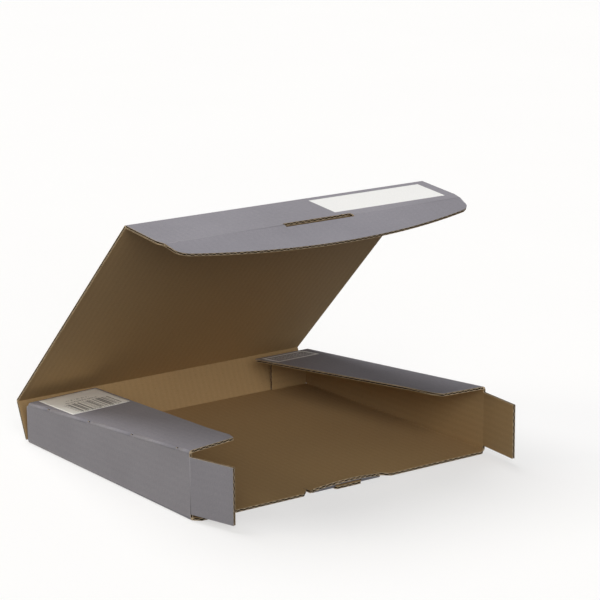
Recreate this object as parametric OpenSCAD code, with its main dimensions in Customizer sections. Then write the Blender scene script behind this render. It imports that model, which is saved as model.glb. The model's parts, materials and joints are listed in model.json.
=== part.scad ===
// Die-cut archival box of corrugated board, opened: a shallow tray with a
// wedge-shaped side, a hinged lid, a spine and a tuck flap with a lip lock.
// Each panel is a flat slab that ends at its creases. A crease is a hinge line
// on the inner faces of the two panels that it joins.
// Frame: origin at the centre of the footprint on the underside, +X to the
// right, +Y to the back, +Z up, millimetres.

/* [Board] */
// Thickness of the corrugated board
board_t = 2.7; // [2:0.1:3.2]

/* [Closed size] */
// Outer width across the side walls
box_w = 330; // [300:1:360]
// Outer depth from the front raw edge to the closed back wall
box_d = 292; // [270:1:320]
// Outer height of the side walls at the front
wall_front_h = 63.5; // [60:0.5:80]
// Outer height of the side walls at the back
wall_rear_h = 39.4; // [36:0.5:50]

/* [Flaps] */
// Width of a top flap at the back
top_flap_rear_w = 69; // [60:1:80]
// Width of a top flap near the front
top_flap_front_w = 50; // [45:1:58]
// Width of a front flap
front_flap_w = 48; // [40:1:60]
// Width of a rear corner flap
rear_flap_w = 43; // [30:1:60]
// Reach of the tuck flap at its middle
tuck_reach = 40; // [36:1:50]
// Reach of the tuck flap where its long arc ends
tuck_end_reach = 21; // [18:1:24]

/* [Lip lock] */
// Width of the locking tongue
tongue_w = 78.6; // [70:0.2:84]
// Distance from the front raw edge to the tongue's crease
tongue_reach = 14.5; // [12:0.5:20]
// Width of the locking lip at its crease
lip_w = 74; // [60:1:74]
// Height of the lip at its middle
lip_h = 8.2; // [7.5:0.1:9]
// Height of the lip at its ends
lip_end_h = 1.8; // [1:0.1:3]
// Width of the finger tab
tab_w = 29; // [20:1:36]
// Reach of the finger tab from the lip's crease
tab_reach = 5.5; // [4:0.1:5.8]
// Length of the slot that takes the lip
slot_w = 75; // [73:1:80]
// Width of the slot on each side of its crease
slot_half = 3.5; // [3.4:0.1:5]

/* [Rest pose] */
// Lean of the back wall away from upright, degrees
back_lean = 23.6; // [0:0.1:45]
// Rise of the lid over the horizontal, degrees
lid_rise = 45; // [35:0.1:60]
// Dip of the spine under the horizontal, degrees
spine_dip = 6; // [0:0.5:20]
// Bend of the tuck flap from the spine, degrees
tuck_bend = 12; // [0:0.5:40]
// Tilt of the left top flap over its closed place, degrees
left_flap_tilt = 3; // [0:0.5:8]
// Tilt of the right top flap over its closed place, degrees
right_flap_tilt = 1; // [0:0.5:8]
// Inward turn of the left front flap from the side wall's plane, degrees
left_front_turn = 15; // [1:1:60]
// Inward turn of the right front flap from the side wall's plane, degrees
right_front_turn = 6; // [1:1:60]
// Fold of the locking lip up from the tongue, degrees
lip_fold = 42; // [10:1:100]

/* [Hidden] */
$fn = 48;

printed_grey = [0.56, 0.57, 0.60];
kraft_brown = [0.66, 0.53, 0.38];
sticker_white = [0.92, 0.91, 0.88];

crease_gap = 0.15;   // from a panel's end to its crease line
layer_gap = 0.2;     // between panels that lie on each other when closed
lid_gap = 0.5;       // over the top flaps, with room for the sticker
slit_gap = 1;        // beside the tongue
sticker_t = 0.15;

inner_x = box_w / 2 - board_t;
front_y = -box_d / 2;
rear_y = box_d / 2 - board_t;

// closed layers at the front, from outside in: spine, then the front flaps
spine_y = front_y + 0.1 + board_t;
wall_front_y = spine_y + layer_gap + board_t;
// at the back the corner flaps stand inside the closed back wall
wall_rear_y = rear_y - layer_gap - board_t;

wall_taper = atan((wall_front_h - wall_rear_h) / box_d);
// height of the closed top flaps' upper face
function roof_z(y) = wall_rear_h + (box_d / 2 - y) * tan(wall_taper);
// height of a side wall's top crease over its bottom crease
function wall_h(y) = roof_z(y) - 2 * board_t;

back_len = roof_z(rear_y) + lid_gap - board_t;
lid_len = (rear_y - spine_y) / cos(wall_taper);
tuck_crease_z = 2 * board_t + layer_gap;
spine_len = roof_z(spine_y) + lid_gap - tuck_crease_z;
lid_half_w = box_w / 2 - 0.4;
foot_x = lid_half_w - 2.5;   // half width at the tuck flap's crease
foot_len = 10;               // the end of the spine that narrows to it

lip_crease = tongue_reach - 4;      // along the tongue, from its own crease
flap_len = (wall_rear_y - wall_front_y) / cos(wall_taper);
front_flap_low = tuck_crease_z + 0.3 - board_t;
front_flap_high = wall_h(wall_front_y) - 3;

// ---- panels in their flat state -------------------------------------------
// The crease lies along X at y = 0, the panel reaches towards +Y, its inner
// face is at z = 0 and its outer face is at z = -board_t.

module board() {
    translate([0, 0, -board_t]) linear_extrude(board_t) children();
}

// carries a panel to the crease of its parent and folds it up about it
module folded(crease_at, heading, fold) {
    translate(crease_at) rotate([0, 0, heading]) rotate([fold, 0, 0]) children();
}

// points of an arc about [cx, cy]
function arc(cx, cy, r, a0, a1, n) =
    [for (i = [0 : n]) let (a = a0 + (a1 - a0) * i / n) [cx + r * cos(a), cy + r * sin(a)]];

// points of the shallow arc from [half_w, end_h] over [0, mid_h] to the other end
function crown(half_w, end_h, mid_h, n) =
    let (
        rise = mid_h - end_h,
        r = (half_w * half_w + rise * rise) / (2 * rise),
        half_angle = asin(half_w / r)
    )
    arc(0, mid_h - r, r, 90 - half_angle, 90 + half_angle, n);

module strip(half_w, length) {
    translate([-half_w, crease_gap]) square([2 * half_w, length - 2 * crease_gap]);
}

// ---- tray --------------------------------------------------------------------

segment_x = tongue_w / 2 + slit_gap;
tongue_chamfer = 8.5;
corner_chamfer = 5;

module bottom_outline() {
    edge_x = inner_x - crease_gap;
    end_y = rear_y - crease_gap;
    polygon([
        [-edge_x, end_y], [-edge_x, front_y + corner_chamfer],
        [-edge_x + corner_chamfer, front_y],
        [-segment_x - tongue_chamfer, front_y], [-segment_x, front_y + tongue_chamfer],
        [-segment_x, front_y + tongue_reach + crease_gap],
        [segment_x, front_y + tongue_reach + crease_gap],
        [segment_x, front_y + tongue_chamfer], [segment_x + tongue_chamfer, front_y],
        [edge_x - corner_chamfer, front_y],
        [edge_x, front_y + corner_chamfer], [edge_x, end_y]
    ]);
}

module bottom_panel() {
    color(kraft_brown) translate([0, 0, board_t]) board() bottom_outline();
}

module tongue_outline() {
    half_w = tongue_w / 2;
    half_tab = tab_w / 2;
    tip = lip_crease + tab_reach;
    tab_r = 2.5;
    polygon(concat(
        [[-half_w, crease_gap], [half_w, crease_gap], [half_w, lip_crease - crease_gap],
         [half_tab, lip_crease - crease_gap]],
        arc(half_tab - tab_r, tip - tab_r, tab_r, 0, 90, 6),
        arc(-half_tab + tab_r, tip - tab_r, tab_r, 90, 180, 6),
        [[-half_tab, lip_crease - crease_gap], [-half_w, lip_crease - crease_gap]]
    ));
}

module at_tongue() {
    folded([0, front_y + tongue_reach, board_t], 180, 0) children();
}

module locking_tongue() {
    color(kraft_brown) at_tongue() board() tongue_outline();
}

module lip_outline() {
    notch_w = tab_w + 0.8;
    notch_h = tab_reach + 0.3;
    difference() {
        polygon(concat(
            [[-lip_w / 2, crease_gap], [lip_w / 2, crease_gap]],
            crown(lip_w / 2, lip_end_h, lip_h, 24)
        ));
        translate([-notch_w / 2, 0]) square([notch_w, notch_h]);
    }
}

module locking_lip() {
    color(printed_grey) at_tongue() folded([0, lip_crease, 0], 0, lip_fold) board() lip_outline();
}

// ---- side walls and their flaps, drawn for the left side ----------------------
// In a wall's flat frame X runs along the box from front to back.

module at_wall() {
    folded([-inner_x, 0, board_t], 90, 90) children();
}

module wall_outline() {
    low = crease_gap;
    polygon([
        [wall_front_y + crease_gap, low], [wall_rear_y - crease_gap, low],
        [wall_rear_y - crease_gap, wall_h(wall_rear_y) - crease_gap],
        [wall_front_y + crease_gap, wall_h(wall_front_y) - crease_gap]
    ]);
}

module side_wall() {
    color(printed_grey) at_wall() board() wall_outline();
}

module at_top_flap(tilt) {
    at_wall() folded([wall_front_y, wall_h(wall_front_y), 0], -wall_taper, 90 - tilt) children();
}

// the rear end is cut square to the blank, so it slants by the wall's taper and
// stays clear of the lid while the back wall folds up
flap_end = flap_len - 2.4;
flap_corner = flap_end - top_flap_rear_w * tan(wall_taper);

module top_flap_outline() {
    polygon([
        [0.5, crease_gap], [flap_end, crease_gap],
        [flap_corner, top_flap_rear_w], [50, top_flap_front_w],
        [15, top_flap_front_w - 1], [3.5, top_flap_front_w - 4.5]
    ]);
}

module top_flap(tilt) {
    color(printed_grey) at_top_flap(tilt) board() top_flap_outline();
}

module front_flap_outline() {
    translate([front_flap_low, crease_gap])
        square([front_flap_high - front_flap_low, front_flap_w - crease_gap]);
}

module front_flap(turn) {
    color(printed_grey)
        at_wall() folded([wall_front_y, 0, 0], 90, turn) board() front_flap_outline();
}

module rear_flap_outline() {
    low = layer_gap;
    high = wall_h(wall_rear_y) - 1.5;
    corner = 4;
    polygon([
        [-high, crease_gap], [-low, crease_gap], [-low, rear_flap_w],
        [-high + corner, rear_flap_w], [-high, rear_flap_w - corner]
    ]);
}

module rear_flap() {
    color(printed_grey) at_wall() folded([wall_rear_y, 0, 0], -90, 90) board() rear_flap_outline();
}

module left_side_wall() { side_wall(); }
module right_side_wall() { mirror([1, 0, 0]) side_wall(); }
module left_top_flap() { top_flap(left_flap_tilt); }
module right_top_flap() { mirror([1, 0, 0]) top_flap(right_flap_tilt); }
module left_front_flap() { front_flap(left_front_turn); }
module right_front_flap() { mirror([1, 0, 0]) front_flap(right_front_turn); }
module left_rear_flap() { rear_flap(); }
module right_rear_flap() { mirror([1, 0, 0]) rear_flap(); }

// paper label at the back of the left top flap, in line with the flap's free edge
module barcode_sticker() {
    sticker_w = 60;
    sticker_len = 76;
    margin = 2;
    free_edge_slant = atan((top_flap_rear_w - top_flap_front_w) / (flap_corner - 50));
    color(sticker_white)
        at_top_flap(left_flap_tilt)
            translate([flap_corner - margin, top_flap_rear_w - margin, -board_t - sticker_t])
                rotate([0, 0, free_edge_slant])
                    translate([-sticker_len, -sticker_w, 0])
                        cube([sticker_len, sticker_w, sticker_t]);
}

// ---- back wall, lid, spine and tuck flap --------------------------------------

module at_back() {
    folded([0, rear_y, board_t], 0, 90 - back_lean) children();
}

module back_wall() {
    color(printed_grey) at_back() board() strip(lid_half_w, back_len);
}

module at_lid() {
    at_back() folded([0, back_len, 0], 0, 90 + back_lean - lid_rise) children();
}

module lid_panel() {
    color(kraft_brown) at_lid() board() strip(lid_half_w, lid_len);
}

module at_spine() {
    at_lid() folded([0, lid_len, 0], 0, lid_rise + spine_dip) children();
}

module lip_slot() {
    translate([-slot_w / 2, -slot_half]) square([slot_w, 2 * slot_half]);
}

module spine_outline() {
    end = spine_len - crease_gap;
    polygon([
        [-lid_half_w, crease_gap], [lid_half_w, crease_gap],
        [lid_half_w, spine_len - foot_len], [foot_x, end],
        [-foot_x, end], [-lid_half_w, spine_len - foot_len]
    ]);
}

module spine_panel() {
    color(printed_grey) at_spine() board() difference() {
        spine_outline();
        translate([0, spine_len]) lip_slot();
    }
}

module tuck_outline() {
    end_r = 11;
    arc_half_w = lid_half_w - 14;
    polygon(concat(
        [[-foot_x, crease_gap], [foot_x, crease_gap]],
        arc(foot_x - 2 - end_r, tuck_end_reach - end_r - 1, end_r, 0, 60, 6),
        crown(arc_half_w, tuck_end_reach, tuck_reach, 40),
        arc(-foot_x + 2 + end_r, tuck_end_reach - end_r - 1, end_r, 120, 180, 6)
    ));
}

module tuck_flap() {
    color(printed_grey)
        at_spine() folded([0, spine_len, 0], 0, tuck_bend) board() difference() {
            tuck_outline();
            lip_slot();
        }
}

bottom_panel();
locking_tongue();
locking_lip();
left_side_wall();
right_side_wall();
left_top_flap();
right_top_flap();
left_front_flap();
right_front_flap();
left_rear_flap();
right_rear_flap();
back_wall();
lid_panel();
spine_panel();
tuck_flap();
barcode_sticker();
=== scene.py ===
"""Looks of an open archival box of corrugated board.

The box is one die-cut blank. Every panel is read from its CAD node, laid flat in the blank, built there as
real corrugated board (two liners and a fluted medium between them) and folded back to its place. The creases
between the panels are narrow strips, built bent round their crease line as the box stands at rest. All
lengths are in metres.
"""

import json
import math

import bmesh
import bpy
from mathutils import Matrix, Vector

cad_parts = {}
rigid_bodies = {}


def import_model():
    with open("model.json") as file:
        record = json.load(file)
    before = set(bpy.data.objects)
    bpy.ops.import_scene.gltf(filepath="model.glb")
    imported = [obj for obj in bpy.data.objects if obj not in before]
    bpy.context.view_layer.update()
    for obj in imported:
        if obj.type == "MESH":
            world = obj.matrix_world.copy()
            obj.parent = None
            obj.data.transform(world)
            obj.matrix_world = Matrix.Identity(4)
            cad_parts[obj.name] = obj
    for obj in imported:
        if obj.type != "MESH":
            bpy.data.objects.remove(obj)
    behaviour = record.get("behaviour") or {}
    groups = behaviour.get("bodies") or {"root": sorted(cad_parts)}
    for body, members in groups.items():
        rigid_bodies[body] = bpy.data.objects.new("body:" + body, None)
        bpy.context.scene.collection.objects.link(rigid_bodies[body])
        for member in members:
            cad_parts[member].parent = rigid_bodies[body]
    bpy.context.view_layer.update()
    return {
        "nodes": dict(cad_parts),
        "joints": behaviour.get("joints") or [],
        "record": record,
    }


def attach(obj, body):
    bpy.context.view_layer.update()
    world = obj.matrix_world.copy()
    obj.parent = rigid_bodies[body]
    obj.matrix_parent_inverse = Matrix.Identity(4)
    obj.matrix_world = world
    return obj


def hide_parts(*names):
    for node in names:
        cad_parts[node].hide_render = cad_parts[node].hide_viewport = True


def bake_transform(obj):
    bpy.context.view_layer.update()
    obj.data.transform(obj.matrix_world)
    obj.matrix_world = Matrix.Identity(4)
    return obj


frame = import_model()

MM = 0.001

# ---- the board ---------------------------------------------------------------

LINER = 0.42 * MM          # thickness of each glued-on paper
MEDIUM = 0.46 * MM         # thickness of the fluted paper
FLUTE_PITCH = 6.35 * MM
FLUTE_STEPS = 12           # facets in one flute
CRUSH_DEPTH = 0.16 * MM    # how far a cut edge is pressed in by the die
CRUSH_WIDTH = 0.5 * MM     # the slope down to that pressed-in edge
WEAR_WIDTH = 0.35 * MM     # further in, where the wear fades out
CREASE_WEAR = 0.2          # wear at a crease, against 1 at a cut edge
CREASE_GAP = 0.15 * MM     # from a panel's end to its crease line
CREASE_STEPS = 10

# the last slot holds near-black flute paper: painted shade for the deep channels between the liners
OUTER, INNER, EDGE, FLUTE_SHADE_SLOT = range(4)   # material slots of a board piece

# perforation nicks in the creases between side walls and top flaps
NICK_CREASES = ("left_top_flap_crease", "right_top_flap_crease")
NICK_START = 19.6 * MM
NICK_STEP = 73.8 * MM
NICK_LENGTH = 3.4 * MM
NICK_COUNT = 4
NICK_STEPS = (4, 6)        # the steps round the crease between which a nick lies

# the paper label
LABEL_STEPS = (38, 30)     # facets along and across it
LABEL_THICKNESS = 0.10 * MM
LABEL_CORNER_R = 1.2 * MM
LABEL_GLUE = 0.01 * MM     # between the label and the board
LABEL_LIFT = 0.05 * MM     # how far its corners have come away
LABEL_RIPPLE = 0.012 * MM


def turn_about(point, axis, angle):
    """The rotation by angle about the line through point along axis."""
    to_line = Matrix.Translation(point)
    return to_line @ Matrix.Rotation(angle, 4, axis) @ to_line.inverted()


def large_faces(mesh):
    """The two largest flat faces of a mesh, each as (outward normal, corners in order)."""
    bm = bmesh.new()
    bm.from_mesh(mesh)
    bmesh.ops.remove_doubles(bm, verts=bm.verts, dist=1e-6)
    bmesh.ops.dissolve_limit(bm, angle_limit=math.radians(0.2), verts=bm.verts, edges=bm.edges)
    faces = sorted(bm.faces, key=lambda f: f.calc_area())[-2:]
    found = [(f.normal.copy(), [v.co.copy() for v in f.verts]) for f in faces]
    bm.free()
    return found


class Panel:
    """A flat piece of board between creases, as its CAD node stands at rest."""

    def __init__(self, node, on_inner_face=None):
        faces = large_faces(frame["nodes"][node].data)
        if on_inner_face is None:        # the bottom panel lies on its outer face
            faces.sort(key=lambda f: f[1][0].z)
        else:
            faces.sort(key=lambda f: abs((f[1][0] - on_inner_face).dot(f[0])), reverse=True)
        self.node = node
        self.normal, self.corners = faces[0]
        self.thickness = abs((faces[1][1][0] - self.corners[0]).dot(self.normal))
        self.unfold = Matrix.Identity(4)
        self.creases = []

    def outline(self):
        """Corners of the outer face in the flat blank, anticlockwise from above. That face lies at z = 0."""
        flat = [self.unfold @ corner for corner in self.corners]
        return [Vector((p.x, p.y)) for p in reversed(flat)]

    def is_cut_corner(self, corner):
        """True for a corner of the outline that doesn't lie on a crease."""
        return all(abs(crease.offset(corner)) > 2 * CREASE_GAP for crease in self.creases)


class Crease:
    """The line between two panels. fold is the angle from the flat blank to the rest pose."""

    def __init__(self, joint, parent, child):
        self.name = joint["name"]
        self.parent_body, self.child_body = joint["parent"], joint["child"]
        self.parent, self.child = parent, child
        self.point = Vector(joint["pos_m"])
        self.axis = Vector(joint["axis"]).normalized()
        across = parent.normal.cross(child.normal)
        self.fold = math.atan2(self.axis.dot(across), parent.normal.dot(child.normal))
        child.unfold = parent.unfold @ turn_about(self.point, self.axis, -self.fold)
        self.flat_point = parent.unfold @ self.point
        self.flat_axis = parent.unfold.to_3x3() @ self.axis
        parent.creases.append(self)
        child.creases.append(self)

    def along(self, corner):
        """How far a point of the blank lies along the crease from its point."""
        return (corner - self.flat_point.to_2d()).dot(self.flat_axis.to_2d())

    def offset(self, corner):
        """How far a point of the blank lies beside the crease, positive to its left."""
        left = Vector((-self.flat_axis.y, self.flat_axis.x))
        return (corner - self.flat_point.to_2d()).dot(left)


def read_blank():
    """All panels by body name, and all creases, laid out from the bottom panel outwards."""
    bodies = frame["record"]["behaviour"]["bodies"]
    joints = list(frame["joints"])
    children = {joint["child"] for joint in joints}
    root = next(body for body in bodies if body not in children)
    panels = {root: Panel(bodies[root][0])}
    creases = []
    while joints:
        joint = next(j for j in joints if j["parent"] in panels)
        joints.remove(joint)
        child = Panel(bodies[joint["child"]][0], Vector(joint["pos_m"]))
        creases.append(Crease(joint, panels[joint["parent"]], child))
        panels[joint["child"]] = child
    return panels, {crease.name: crease for crease in creases}


# ---- mesh helpers ---------------------------------------------------------------

def new_object(name, mesh, materials=()):
    obj = bpy.data.objects.new(name, mesh)
    bpy.context.scene.collection.objects.link(obj)
    for material in materials:
        mesh.materials.append(material)
    return obj


def add_prism(bm, outline, low, high):
    """A closed prism over a flat outline. Returns its lower and its upper ring."""
    rings = [[bm.verts.new((p.x, p.y, z)) for p in outline] for z in (low, high)]
    bm.faces.new(list(reversed(rings[0])))
    bm.faces.new(rings[1])
    count = len(outline)
    for i in range(count):
        j = (i + 1) % count
        bm.faces.new((rings[0][i], rings[0][j], rings[1][j], rings[1][i]))
    return rings


def remember_blank(mesh):
    """Keeps each point's place in the flat blank, for the materials."""
    attribute = mesh.attributes.new("blank", "FLOAT_VECTOR", "POINT")
    for vertex in mesh.vertices:
        attribute.data[vertex.index].vector = vertex.co


def add_liner(bm, wear, panel, core_z, face_z, slot):
    """One liner, its visible face at face_z. A cut edge is pressed in towards the core and a little worn.

    On the outside the paper runs on smoothly over the creases, on the inside they are pressed in too.
    """
    outline = panel.outline()
    inwards = math.copysign(1, core_z - face_z)
    edge_z = face_z + inwards * CRUSH_DEPTH
    if inwards > 0:
        edge_ring, core_ring = add_prism(bm, outline, edge_z, core_z)
    else:
        core_ring, edge_ring = add_prism(bm, outline, core_z, edge_z)
    bm.faces.ensure_lookup_table()
    for face in bm.faces[-len(outline) - 2:]:
        face.material_index = EDGE
    # the liner's face towards the core gets the near-black flute paper, painted shade inside the board
    next(f for f in core_ring[0].link_faces if set(f.verts) == set(core_ring)).material_index = FLUTE_SHADE_SLOT
    for corner, edge, core in zip(outline, edge_ring, core_ring):
        cut = panel.is_cut_corner(corner)
        edge[wear] = core[wear] = 1 if cut else CREASE_WEAR
        if slot == OUTER and not cut:
            edge.co.z = face_z
    face = next(f for f in edge_ring[0].link_faces if set(f.verts) == set(edge_ring))
    face.material_index = slot
    for width in (CRUSH_WIDTH, WEAR_WIDTH):
        result = bmesh.ops.inset_individual(bm, faces=[face], thickness=width, use_even_offset=True)
        for ring_face in result["faces"]:
            ring_face.material_index = slot
        for vertex in face.verts:
            vertex.co.z = face_z
            vertex[wear] = CREASE_WEAR if width == CRUSH_WIDTH else 0


def flute_sheet(outline, thickness):
    """The fluted medium: a wave along the blank's X, cut to the panel's outline."""
    xs = [p.x for p in outline]
    ys = [p.y for p in outline]
    step = FLUTE_PITCH / FLUTE_STEPS
    first, last = math.floor(min(xs) / step) - 1, math.ceil(max(xs) / step) + 1
    low_y, high_y = min(ys) - MM, max(ys) + MM
    swing = (thickness - 2 * LINER - MEDIUM) / 2
    bm = bmesh.new()
    stations = []
    for k in range(first, last + 1):
        x = k * step
        z = thickness / 2 + swing * math.sin(2 * math.pi * x / FLUTE_PITCH)
        corners = ((low_y, -1), (high_y, -1), (high_y, 1), (low_y, 1))
        stations.append([bm.verts.new((x, y, z + side * MEDIUM / 2)) for y, side in corners])
    for a, b in zip(stations, stations[1:]):
        for i in range(4):
            j = (i + 1) % 4
            bm.faces.new((a[i], b[i], b[j], a[j]))
    bm.faces.new(stations[0])
    bm.faces.new(list(reversed(stations[-1])))
    bmesh.ops.recalc_face_normals(bm, faces=bm.faces)
    sheet = bpy.data.meshes.new("flutes")
    bm.to_mesh(sheet)
    bm.free()

    bm = bmesh.new()
    add_prism(bm, outline, -MM, thickness + MM)
    cutter_mesh = bpy.data.meshes.new("cutter")
    bm.to_mesh(cutter_mesh)
    bm.free()
    sheet_object, cutter = new_object("flutes", sheet), new_object("cutter", cutter_mesh)
    cut = sheet_object.modifiers.new("cut", "BOOLEAN")
    cut.operation, cut.solver, cut.object = "INTERSECT", "MANIFOLD", cutter
    evaluated = sheet_object.evaluated_get(bpy.context.evaluated_depsgraph_get())
    result = bpy.data.meshes.new_from_object(evaluated)
    for used in (sheet_object, cutter):
        bpy.data.objects.remove(used)
    return result


# ---- pieces ---------------------------------------------------------------------

def board_piece(panel, body, materials):
    """Corrugated board in place of a CAD slab."""
    bm = bmesh.new()
    wear = bm.verts.layers.float.new("wear")
    bm.from_mesh(flute_sheet(panel.outline(), panel.thickness))
    # the flute faces get near-black paper as painted shade in the channels; their cut ends stay pale
    for face in bm.faces:
        is_cut = abs(face.normal.z) < 0.1
        face.material_index = EDGE if is_cut else FLUTE_SHADE_SLOT
    add_liner(bm, wear, panel, LINER, 0, OUTER)
    add_liner(bm, wear, panel, panel.thickness - LINER, panel.thickness, INNER)
    bmesh.ops.recalc_face_normals(bm, faces=bm.faces)
    mesh = bpy.data.meshes.new(panel.node + "_board")
    bm.to_mesh(mesh)
    bm.free()
    remember_blank(mesh)
    mesh.transform(panel.unfold.inverted())
    piece = new_object(mesh.name, mesh, materials)
    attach(piece, body)
    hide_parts(panel.node)
    return piece


def crease_spans(crease):
    """Where both panels reach the crease: stretches along its axis, measured from its point."""
    sides = []
    for panel in (crease.parent, crease.child):
        outline = panel.outline()
        ends = zip(outline, outline[1:] + outline[:1])
        on_crease = [pair for pair in ends if all(abs(crease.offset(p)) < 2 * CREASE_GAP for p in pair)]
        sides.append([sorted(crease.along(p) for p in pair) for pair in on_crease])
    overlaps = [(max(a[0], b[0]), min(a[1], b[1])) for a in sides[0] for b in sides[1]]
    return sorted((low, high) for low, high in overlaps if high - low > MM)


def crease_blocks(crease):
    """The crushed board of a crease as blocks (start, end, first step, last step), without the nicks."""
    spans = crease_spans(crease)
    if crease.name not in NICK_CREASES:
        return [(low, high, 0, CREASE_STEPS) for low, high in spans]
    low, high = spans[0]
    offsets = [NICK_START + i * NICK_STEP for i in range(NICK_COUNT)]
    front_is_low = crease.flat_axis.y > 0
    centres = sorted(low + offset if front_is_low else high - offset for offset in offsets)
    blocks = []
    start = low
    for centre in centres:
        nick_start, nick_end = centre - NICK_LENGTH / 2, centre + NICK_LENGTH / 2
        blocks.append((start, nick_start, 0, CREASE_STEPS))
        blocks.append((nick_start, nick_end, 0, NICK_STEPS[0]))
        blocks.append((nick_start, nick_end, NICK_STEPS[1], CREASE_STEPS))
        start = nick_end
    blocks.append((start, high, 0, CREASE_STEPS))
    return blocks


def crease_piece(crease, materials):
    """The crushed board of one crease, a wedge bent round the crease line to its rest angle."""
    to_rest = crease.parent.unfold.inverted()
    forward = Vector((-crease.flat_axis.y, crease.flat_axis.x, 0))
    outline = crease.child.outline()
    if sum(crease.offset(corner) for corner in outline) < 0:
        forward.negate()
    shallow, deep = 0.05 * MM, crease.parent.thickness

    def place(step, depth, distance):
        """A point of the wedge in the flat blank and at rest."""
        share = step / CREASE_STEPS
        flat = crease.flat_point + crease.flat_axis * distance + forward * CREASE_GAP * (2 * share - 1)
        flat.z -= depth
        return flat, turn_about(crease.point, crease.axis, crease.fold * share) @ (to_rest @ flat)

    bm = bmesh.new()
    blank = bm.verts.layers.float_vector.new("blank")
    wear = bm.verts.layers.float.new("wear")
    for low, high, first, last in crease_blocks(crease):
        rings = []
        for step in range(first, last + 1):
            ring = []
            for distance, depth in ((low, shallow), (low, deep), (high, deep), (high, shallow)):
                flat, rest = place(step, depth, distance)
                vertex = bm.verts.new(rest)
                vertex[blank] = flat
                vertex[wear] = CREASE_WEAR
                ring.append(vertex)
            rings.append(ring)
        for a, b in zip(rings, rings[1:]):
            for i, slot in enumerate((EDGE, OUTER, EDGE, INNER)):
                j = (i + 1) % 4
                face = bm.faces.new((a[i], b[i], b[j], a[j]))
                face.material_index = slot
                face.smooth = slot == OUTER
        # the strip's two ends get the near-black flute paper, painted shade inside the board
        for ring in (rings[0], rings[-1]):
            bm.faces.new(ring).material_index = FLUTE_SHADE_SLOT
    bmesh.ops.recalc_face_normals(bm, faces=bm.faces)
    mesh = bpy.data.meshes.new(crease.name.replace("_crease", "_fold"))
    bm.to_mesh(mesh)
    bm.free()
    piece = new_object(mesh.name, mesh, materials)
    ends = [place(step, deep, 0)[1] for step in (0, CREASE_STEPS)]
    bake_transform(piece)
    return piece


def label_outline_point(a, b, length, width):
    """A point of the label, measured from its middle, pulled in where the label's corner is rounded."""
    over_a = abs(a) - (length / 2 - LABEL_CORNER_R)
    over_b = abs(b) - (width / 2 - LABEL_CORNER_R)
    if over_a <= 0 or over_b <= 0:
        return a, b
    excess = 1 - min(1, LABEL_CORNER_R / math.hypot(over_a, over_b))
    return math.copysign(abs(a) - over_a * excess, a), math.copysign(abs(b) - over_b * excess, b)


def label_stand_off(a, b, length, width):
    """How far the label's underside is from the board: glue, lifted corners and a slight ripple."""
    lift = LABEL_LIFT * max(0, math.hypot(a / length, b / width) * 2 - 1.15)
    ripple = LABEL_RIPPLE * math.sin(a * 160) * math.sin(b * 210 + 1)
    return LABEL_GLUE + lift + ripple


def label_piece(panel, body):
    """The paper label, a thin sheet with slightly rounded and lifted corners."""
    node = "barcode_sticker"
    flat_corners = [panel.unfold @ c for c in large_faces(frame["nodes"][node].data)[0][1]]
    centre = sum((p.to_2d() for p in flat_corners), Vector((0, 0))) / 4
    sides = [(b - a).to_2d() for a, b in zip(flat_corners, flat_corners[1:] + flat_corners[:1])]
    long_side = max(sides, key=lambda s: s.length)
    length, width = long_side.length, min(s.length for s in sides)
    frontwards = long_side.normalized() * (-1 if long_side.y > 0 else 1)
    inwards = Vector((-frontwards.y, frontwards.x))
    if inwards.x < 0:
        inwards.negate()

    bm = bmesh.new()
    blank = bm.verts.layers.float_vector.new("blank")
    fold = panel.unfold.inverted()
    steps_a, steps_b = LABEL_STEPS

    def add_point(i, j, height):
        """A point of the label at a height over its underside."""
        a, b = length * (i / steps_a - 0.5), width * (j / steps_b - 0.5)
        a, b = label_outline_point(a, b, length, width)
        z = -label_stand_off(a, b, length, width) - height
        vertex = bm.verts.new(fold @ Vector((*(centre + frontwards * a + inwards * b), z)))
        vertex[blank] = (a + length / 2, b + width / 2, 0)
        return vertex

    lower, upper = [
        [[add_point(i, j, height) for j in range(steps_b + 1)] for i in range(steps_a + 1)]
        for height in (0, LABEL_THICKNESS)
    ]
    for i in range(steps_a):
        for j in range(steps_b):
            for grid in (lower, upper):
                face = bm.faces.new((grid[i][j], grid[i + 1][j], grid[i + 1][j + 1], grid[i][j + 1]))
                face.smooth = True
    rims = [
        [(i, 0) for i in range(steps_a + 1)], [(i, steps_b) for i in range(steps_a + 1)],
        [(0, j) for j in range(steps_b + 1)], [(steps_a, j) for j in range(steps_b + 1)],
    ]
    for rim in rims:
        for (i, j), (k, m) in zip(rim, rim[1:]):
            bm.faces.new((lower[i][j], lower[k][m], upper[k][m], upper[i][j]))
    bmesh.ops.recalc_face_normals(bm, faces=bm.faces)
    mesh = bpy.data.meshes.new("barcode_label")
    bm.to_mesh(mesh)
    bm.free()
    piece = new_object(mesh.name, mesh, [label_paper("label_paper", length, width)])
    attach(piece, body)
    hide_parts(node)


# ---- materials --------------------------------------------------------------------

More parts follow.
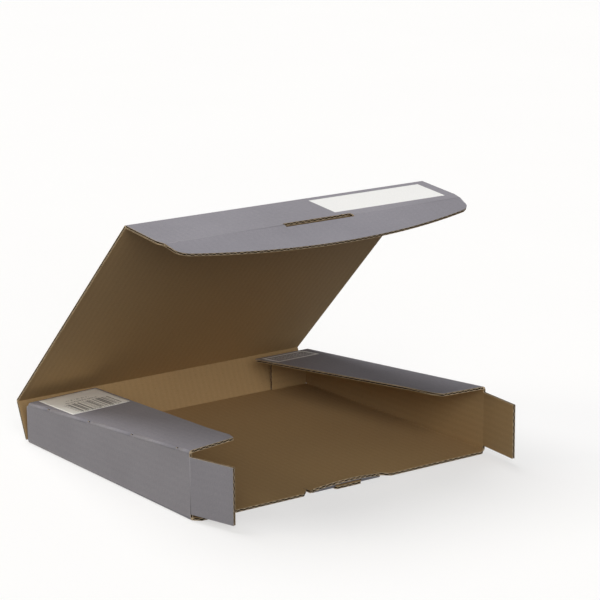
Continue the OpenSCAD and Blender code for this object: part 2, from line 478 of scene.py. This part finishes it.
class Shader:
    """A material under construction. Each method adds nodes and returns an output socket."""

    def __init__(self, name):
        self.material = bpy.data.materials.new(name)
        self.material.use_nodes = True
        self.tree = self.material.node_tree
        self.bsdf = self.tree.nodes["Principled BSDF"]

    def node(self, kind, inputs=(), **settings):
        made = self.tree.nodes.new(kind)
        for key, value in settings.items():
            setattr(made, key, value)
        for key, value in dict(inputs).items():
            self.put(made.inputs[key], value)
        return made

    def put(self, socket, value):
        if isinstance(value, bpy.types.NodeSocket):
            self.tree.links.new(value, socket)
        else:
            socket.default_value = value

    def attribute(self, name, output):
        return self.node("ShaderNodeAttribute", attribute_name=name).outputs[output]

    def math(self, operation, *values):
        return self.node("ShaderNodeMath", enumerate(values), operation=operation).outputs[0]

    def scaled(self, vector, factors):
        return self.node("ShaderNodeVectorMath", {0: vector, 1: factors}, operation="MULTIPLY").outputs[0]

    def noise(self, vector, scale, detail=3.0, roughness=0.55):
        inputs = {"Vector": vector, "Scale": scale, "Detail": detail, "Roughness": roughness}
        return self.node("ShaderNodeTexNoise", inputs).outputs["Fac"]

    def ramp(self, value, low, high, out_low=0.0, out_high=1.0):
        """value from low to high turned smoothly into out_low to out_high."""
        inputs = {"Value": value, "From Min": low, "From Max": high, "To Min": out_low, "To Max": out_high}
        return self.node("ShaderNodeMapRange", inputs, interpolation_type="SMOOTHSTEP").outputs["Result"]

    def mix(self, share, a, b):
        mixer = self.node("ShaderNodeMix", data_type="RGBA")
        for index, value in ((0, share), (6, a), (7, b)):
            self.put(mixer.inputs[index], value)
        return mixer.outputs[2]

    def shade(self, colour, factor):
        """colour made lighter or darker by factor, 1 for no change."""
        scale = self.node("ShaderNodeVectorMath", {0: colour, "Scale": factor}, operation="SCALE")
        return scale.outputs[0]

    def bump(self, height, distance, strength=1.0, normal=None):
        inputs = {"Height": height, "Distance": distance, "Strength": strength}
        if normal is not None:
            inputs["Normal"] = normal
        return self.node("ShaderNodeBump", inputs).outputs["Normal"]

    def between(self, value, low, high, soft):
        """1 where value is from low to high, with edges soft wide."""
        rise = self.ramp(value, low - soft / 2, low + soft / 2)
        fall = self.ramp(value, high - soft / 2, high + soft / 2, 1.0, 0.0)
        return self.math("MULTIPLY", rise, fall)

    def rectangle(self, place, corners, soft=0.0003):
        (x0, y0), (x1, y1) = corners
        inside_x = self.between(place["x"], x0, x1, soft)
        inside_y = self.between(place["y"], y0, y1, soft)
        return self.math("MULTIPLY", inside_x, inside_y)

    def place(self):
        """The point's place in the flat blank: the vector and its x and y."""
        vector = self.attribute("blank", "Vector")
        split = self.node("ShaderNodeSeparateXYZ", {0: vector})
        return {"vector": vector, "x": split.outputs["X"], "y": split.outputs["Y"]}

    def finish(self, colour, roughness, normal):
        self.put(self.bsdf.inputs["Base Color"], colour)
        self.put(self.bsdf.inputs["Roughness"], roughness)
        self.put(self.bsdf.inputs["Normal"], normal)
        return self.material


GREY_PRINT = (0.280, 0.268, 0.298, 1)
SCUFF_GREY = (0.45, 0.43, 0.42, 1)
RUBBED_GREY = (0.40, 0.36, 0.32, 1)
FIELD_WHITE = (0.92, 0.915, 0.90, 1)
KRAFT = (0.42, 0.275, 0.128, 1)
KRAFT_BLOTCH = (0.37, 0.235, 0.112, 1)
KRAFT_DARK = (0.27, 0.165, 0.075, 1)
KRAFT_PALE = (0.56, 0.41, 0.24, 1)
KRAFT_SPECK = (0.12, 0.075, 0.04, 1)
LINER_EDGE = (0.62, 0.48, 0.31, 1)
# near black, not the paper's own brown: painted shade for the deep channels between the liners
FLUTE_DARK_PAINTED_SHADE = (0.05, 0.03, 0.015, 1)
LABEL_WHITE = (0.93, 0.92, 0.88, 1)
INK = (0.10, 0.10, 0.11, 1)


def paper_relief(shader, place, grain_depth):
    """Fine paper grain over the faint washboard that the flutes press through a liner. The washboard's wave
    is returned too; the paper colours use it for faint painted shade stripes.
    """
    stripes = shader.math("SINE", shader.math("MULTIPLY", place["x"], 2 * math.pi / FLUTE_PITCH))
    washboard = shader.bump(stripes, 0.02 * MM)
    grain = shader.noise(place["vector"], 1400, 4.0, 0.6)
    dents = shader.noise(place["vector"], 45, 2.0, 0.5)
    normal = shader.bump(dents, 0.35 * MM, 0.6, washboard)
    return shader.bump(grain, grain_depth, 0.8, normal), stripes


def grey_print(name, fields=(), frames=()):
    """Matt grey ink on the outer liner. fields are filled white, frames are white outlines with marks in."""
    shader = Shader(name)
    place = shader.place()
    vector = place["vector"]
    normal, stripes = paper_relief(shader, place, 0.05 * MM)
    blotches = shader.ramp(shader.noise(vector, 11, 3.0), 0.3, 0.7, 0.95, 1.05)
    speckle = shader.ramp(shader.noise(vector, 1100, 3.0, 0.7), 0.25, 0.75, 0.90, 1.10)
    fibres = shader.ramp(shader.noise(shader.scaled(vector, (260, 900, 1)), 1.0, 3.0), 0.3, 0.7, 0.97, 1.03)
    # faint painted shade: the grey is a little lighter and darker in step with the washboard relief
    flutes = shader.math("MULTIPLY_ADD", stripes, 0.010, 1.0)
    tone = shader.math("MULTIPLY", blotches, speckle)
    tone = shader.math("MULTIPLY", tone, fibres)
    tone = shader.math("MULTIPLY", tone, flutes)
    colour = shader.shade(GREY_PRINT[:3], tone)

    patchy = shader.noise(vector, 7, 2.0)
    streaks = shader.noise(shader.scaled(vector, (60, 420, 1)), 1.0, 2.0)
    scuffs = shader.math("MULTIPLY", shader.ramp(streaks, 0.66, 0.80), shader.ramp(patchy, 0.5, 0.7))
    colour = shader.mix(shader.math("MULTIPLY", scuffs, 0.22), colour, SCUFF_GREY)

    masks = [shader.rectangle(place, corners) for corners in fields]
    masks += [framed_marks(shader, place, corners) for corners in frames]
    if masks:
        colour = white_print(shader, vector, colour, masks)
    colour = worn_edges(shader, vector, colour)
    roughness = shader.ramp(shader.noise(vector, 300, 2.0), 0.3, 0.7, 0.62, 0.78)
    shader.bsdf.inputs["Specular IOR Level"].default_value = 0.35
    return shader.finish(colour, roughness, normal)


def white_print(shader, vector, colour, masks):
    """colour with white ink where a mask is 1, a little thin in spots."""
    tone = shader.ramp(shader.noise(vector, 700, 3.0), 0.25, 0.75, 0.96, 1.02)
    white = shader.shade(FIELD_WHITE[:3], tone)
    thin_spots = shader.ramp(shader.noise(vector, 900, 3.0), 0.25, 0.45, 0.90, 1.0)
    for mask in masks:
        colour = shader.mix(shader.math("MULTIPLY", mask, thin_spots), colour, white)
    return colour


def worn_edges(shader, vector, colour):
    """colour with its ink rubbed near the edges and chipped off along them."""
    worn = shader.attribute("wear", "Fac")
    chips = shader.noise(vector, 420, 4.0, 0.65)
    bare = shader.ramp(shader.math("ADD", worn, chips), 1.18, 1.42)
    rubbed = shader.ramp(shader.math("ADD", worn, shader.math("MULTIPLY", chips, 0.6)), 0.35, 1.2, 0.0, 0.30)
    colour = shader.mix(rubbed, colour, RUBBED_GREY)
    return shader.mix(bare, colour, LINER_EDGE)


def framed_marks(shader, place, corners):
    """A thin white frame with rows of short strokes in it that stand for small print."""
    line = 3.2 * MM
    (x0, y0), (x1, y1) = corners
    outer = shader.rectangle(place, corners)
    inner = shader.rectangle(place, ((x0 + line, y0 + line), (x1 - line, y1 - line)))
    frame_line = shader.math("SUBTRACT", outer, inner)
    margin = 5 * MM
    rows = shader.math("SINE", shader.math("MULTIPLY", place["y"], 2 * math.pi / (4.6 * MM)))
    rows = shader.ramp(rows, 0.25, 0.5)
    strokes = shader.noise(shader.scaled(place["vector"], (700, 60, 1)), 1.0, 1.0)
    strokes = shader.ramp(strokes, 0.42, 0.48, 0.0, 0.85)
    text_area = shader.rectangle(place, ((x0 + margin, y0 + margin), (x1 - margin, y1 - margin)))
    marks = shader.math("MULTIPLY", shader.math("MULTIPLY", rows, strokes), text_area)
    return shader.math("MAXIMUM", frame_line, marks)


def kraft_liner(name):
    """Uncoated kraft paper with long pale and dark fibres."""
    shader = Shader(name)
    place = shader.place()
    vector = place["vector"]
    normal, stripes = paper_relief(shader, place, 0.07 * MM)
    blotches = shader.ramp(shader.noise(vector, 9, 3.0), 0.3, 0.7, 0.0, 0.22)
    colour = shader.mix(blotches, KRAFT, KRAFT_BLOTCH)
    dark_fibres = shader.noise(shader.scaled(vector, (240, 1500, 1)), 1.0, 3.0, 0.6)
    pale_fibres = shader.noise(shader.scaled(vector, (1700, 300, 1)), 1.0, 3.0, 0.6)
    colour = shader.mix(shader.ramp(dark_fibres, 0.56, 0.74, 0.0, 0.6), colour, KRAFT_DARK)
    colour = shader.mix(shader.ramp(pale_fibres, 0.58, 0.76, 0.0, 0.45), colour, KRAFT_PALE)
    specks = shader.ramp(shader.noise(vector, 800, 2.0), 0.70, 0.76, 0.0, 0.55)
    colour = shader.mix(specks, colour, KRAFT_SPECK)
    # faint painted shade: the kraft is a little lighter and darker in step with the washboard relief
    flutes = shader.math("MULTIPLY_ADD", stripes, 0.022, 1.0)
    colour = shader.shade(colour, flutes)
    worn = shader.attribute("wear", "Fac")
    colour = shader.mix(shader.ramp(worn, 0.2, 1.0, 0.0, 0.35), colour, LINER_EDGE)
    roughness = shader.ramp(shader.noise(vector, 350, 2.0), 0.3, 0.7, 0.78, 0.92)
    shader.bsdf.inputs["Specular IOR Level"].default_value = 0.25
    return shader.finish(colour, roughness, normal)


def cut_paper(name, colour):
    """The raw cut edge of a paper layer, furry and uneven. Made near black, it also paints the shade inside
    the flute channels.
    """
    shader = Shader(name)
    place = shader.place()
    vector = place["vector"]
    tone = shader.ramp(shader.noise(vector, 1300, 4.0, 0.7), 0.25, 0.75, 0.72, 1.22)
    fur = shader.bump(shader.noise(vector, 2600, 3.0), 0.08 * MM)
    shader.bsdf.inputs["Specular IOR Level"].default_value = 0.2
    roughness = shader.ramp(shader.noise(vector, 500, 2.0), 0.3, 0.7, 0.85, 0.95)
    return shader.finish(shader.shade(colour[:3], tone), roughness, fur)


def random_cells(shader, distance, size):
    """A random number from 0 to 1 for each stretch of the given size."""
    cell = shader.math("FLOOR", shader.math("DIVIDE", distance, size))
    return shader.node("ShaderNodeTexWhiteNoise", {"W": cell}, noise_dimensions="1D").outputs["Value"]


def label_paper(name, length, width):
    """White label paper with a plain bar pattern and rows of short strokes, none of them lettering."""
    shader = Shader(name)
    place = shader.place()
    vector, along, across = place["vector"], place["x"], place["y"]

    def area(x0, x1, y0, y1):
        """1 inside a rectangle given in shares of the label's length and width."""
        return shader.rectangle(place, ((x0 * length, y0 * width), (x1 * length, y1 * width)))

    thin = shader.math("GREATER_THAN", random_cells(shader, across, 0.5 * MM), 0.35)
    wide = shader.math("GREATER_THAN", random_cells(shader, across, 1.9 * MM), 0.28)
    bars = shader.math("MULTIPLY", shader.math("MULTIPLY", thin, wide), area(0.50, 0.93, 0.10, 0.90))

    strokes = shader.noise(shader.scaled(vector, (60, 900, 1)), 1.0, 1.0)
    strokes = shader.ramp(strokes, 0.47, 0.52, 0.0, 0.9)
    row_front = area(0.95, 0.975, 0.16, 0.84)
    row_middle = area(0.40, 0.45, 0.24, 0.78)
    row_rear = area(0.30, 0.34, 0.30, 0.74)
    rows = shader.math("MAXIMUM", row_front, shader.math("MAXIMUM", row_middle, row_rear))
    rows = shader.math("MULTIPLY", strokes, rows)
    ink = shader.math("MAXIMUM", bars, rows)
    fade = shader.ramp(shader.noise(vector, 700, 2.0), 0.3, 0.6, 0.70, 0.92)

    tone = shader.ramp(shader.noise(vector, 40, 3.0), 0.3, 0.7, 0.96, 1.03)
    paper = shader.shade(LABEL_WHITE[:3], tone)
    colour = shader.mix(shader.math("MULTIPLY", ink, fade), paper, INK)
    normal = shader.bump(shader.noise(vector, 1600, 3.0), 0.02 * MM)
    roughness = shader.math("SUBTRACT", 0.55, shader.math("MULTIPLY", ink, 0.12))
    return shader.finish(colour, roughness, normal)


# ---- printed fields, in the flat blank -----------------------------------------------

def field(crease, left, right, low, high):
    """Corners of a field, given in millimetres: X in the blank, and Y counted from a crease."""
    crease_y = crease.flat_point.y
    return (left * MM, crease_y + low * MM), (right * MM, crease_y + high * MM)


def spine_fields(creases):
    """Writing field at the right end of the spine."""
    return [field(creases["spine_crease"], left=26.5, right=153.5, low=6.5, high=47)]


def lid_fields(creases):
    """Two large fields, one at the spine and one at the back."""
    return [
        field(creases["spine_crease"], left=31, right=156, low=-95, high=-15),
        field(creases["lid_crease"], left=-152, right=-27, low=8, high=88),
    ]


def right_flap_frames(panels):
    """Outlined box near the rear end of the right top flap, square to the blank."""
    outline = panels["right_top_flap"].outline()
    rear_y = max(p.y for p in outline)
    crease_x = min(p.x for p in outline if rear_y - p.y < 3 * MM)
    low_corner = (crease_x + 10.4 * MM, rear_y - 31.5 * MM)
    high_corner = (crease_x + 64.5 * MM, rear_y - 4.5 * MM)
    return [(low_corner, high_corner)]


# ---- the whole box ---------------------------------------------------------------------

def build_box():
    panels, creases = read_blank()
    plain = grey_print("grey_print")
    printed = {
        "lid": grey_print("grey_print_lid", fields=lid_fields(creases)),
        "spine": grey_print("grey_print_spine", fields=spine_fields(creases)),
        "right_top_flap": grey_print("grey_print_right_flap", frames=right_flap_frames(panels)),
    }
    kraft = kraft_liner("kraft_liner")
    liner_edge = cut_paper("liner_edge", LINER_EDGE)
    # near-black flute paper: painted shade inside the flute channels
    flutes = cut_paper("flute_paper_painted_shade", FLUTE_DARK_PAINTED_SHADE)
    for body, panel in panels.items():
        piece = board_piece(panel, body, [printed.get(body, plain), kraft, liner_edge, flutes])
    for crease in creases.values():
        piece = crease_piece(crease, [plain, kraft, liner_edge, flutes])
    label_piece(panels["left_top_flap"], "left_top_flap")


# ---- floor, light and camera ---------------------------------------------------------------

FLOOR_SIZE = 28.0
CAMERA_PLACE = (-1.2086, -1.7469, 0.6675)
CAMERA_YAW, CAMERA_PITCH, CAMERA_ROLL = (math.radians(angle) for angle in (35.85, 13.88, -0.36))
CAMERA_LENS = 141.1        # focal length in millimetres on a sensor 36 mm wide


def add_sun(name, towards, strength, spread, colour=(1, 1, 1)):
    """Soft, even light from a direction. spread is the light's width in degrees."""
    light = bpy.data.lights.new(name, "SUN")
    light.energy = strength
    light.color = colour
    light.angle = math.radians(spread)
    obj = bpy.data.objects.new(name, light)
    bpy.context.scene.collection.objects.link(obj)
    obj.rotation_euler = (-Vector(towards)).to_track_quat("-Z", "Y").to_euler()


def build_floor():
    """A plain pale floor that glows a little, so that the shadows on it stay faint."""
    shader = Shader("floor_paper")
    position = shader.node("ShaderNodeNewGeometry").outputs["Position"]
    tone = shader.ramp(shader.noise(position, 3.0, 2.0), 0.3, 0.7, 0.995, 1.005)
    shader.put(shader.bsdf.inputs["Base Color"], shader.shade((0.42, 0.418, 0.416), tone))
    shader.bsdf.inputs["Emission Color"].default_value = (1.0, 0.995, 0.99, 1)
    shader.bsdf.inputs["Emission Strength"].default_value = 0.57
    shader.bsdf.inputs["Roughness"].default_value = 0.9
    shader.bsdf.inputs["Specular IOR Level"].default_value = 0.1
    mesh = bpy.data.meshes.new("floor")
    half = FLOOR_SIZE / 2
    corners = [(-half, -half, 0), (half, -half, 0), (half, half, 0), (-half, half, 0)]
    mesh.from_pydata(corners, [], [(0, 1, 2, 3)])
    floor = new_object("floor", mesh, [shader.material])
    floor.visible_diffuse = False        # the box gets its light from below from the world instead


def build_lights():
    """Soft light from above, a little warmer light from the left, and a fill from the front."""
    build_world(upper=0.13, lower=0.10)
    add_sun("overhead", (-0.05, 0.50, 0.86), 2.08, 40)
    add_sun("left", (-0.75, 0.61, 0.26), 1.05, 30, (1.0, 0.94, 0.80))
    add_sun("front", (-0.38, -0.80, 0.43), 1.50, 35)


def build_world(upper, lower):
    """An even sky with strength upper, and a dimmer half below the horizon."""
    world = bpy.data.worlds.new("studio")
    bpy.context.scene.world = world
    world.use_nodes = True
    tree = world.node_tree
    direction = tree.nodes.new("ShaderNodeTexCoord").outputs["Generated"]
    height = tree.nodes.new("ShaderNodeSeparateXYZ")
    tree.links.new(direction, height.inputs[0])
    strength = tree.nodes.new("ShaderNodeMapRange")
    tree.links.new(height.outputs["Z"], strength.inputs["Value"])
    for key, value in (("From Min", -0.1), ("From Max", 0.1), ("To Min", lower), ("To Max", upper)):
        strength.inputs[key].default_value = value
    background = tree.nodes["Background"]
    background.inputs["Color"].default_value = (1.0, 0.99, 0.98, 1)
    tree.links.new(strength.outputs["Result"], background.inputs["Strength"])


def build_camera():
    """The camera stands in front and to the left of the box, a little above it."""
    data = bpy.data.cameras.new("camera")
    data.lens, data.sensor_width = CAMERA_LENS, 36.0
    data.clip_end = 100.0
    camera = bpy.data.objects.new("camera", data)
    bpy.context.scene.collection.objects.link(camera)
    yaw = Matrix.Rotation(-CAMERA_YAW, 4, "Z")
    pitch = Matrix.Rotation(math.pi / 2 - CAMERA_PITCH, 4, "X")
    roll = Matrix.Rotation(CAMERA_ROLL, 4, "Z")
    camera.matrix_world = Matrix.Translation(CAMERA_PLACE) @ yaw @ pitch @ roll
    bpy.context.scene.camera = camera


build_box()
build_floor()
build_lights()
build_camera()
bpy.context.scene.view_settings.view_transform = "Standard"

bpy.context.view_layer.update()
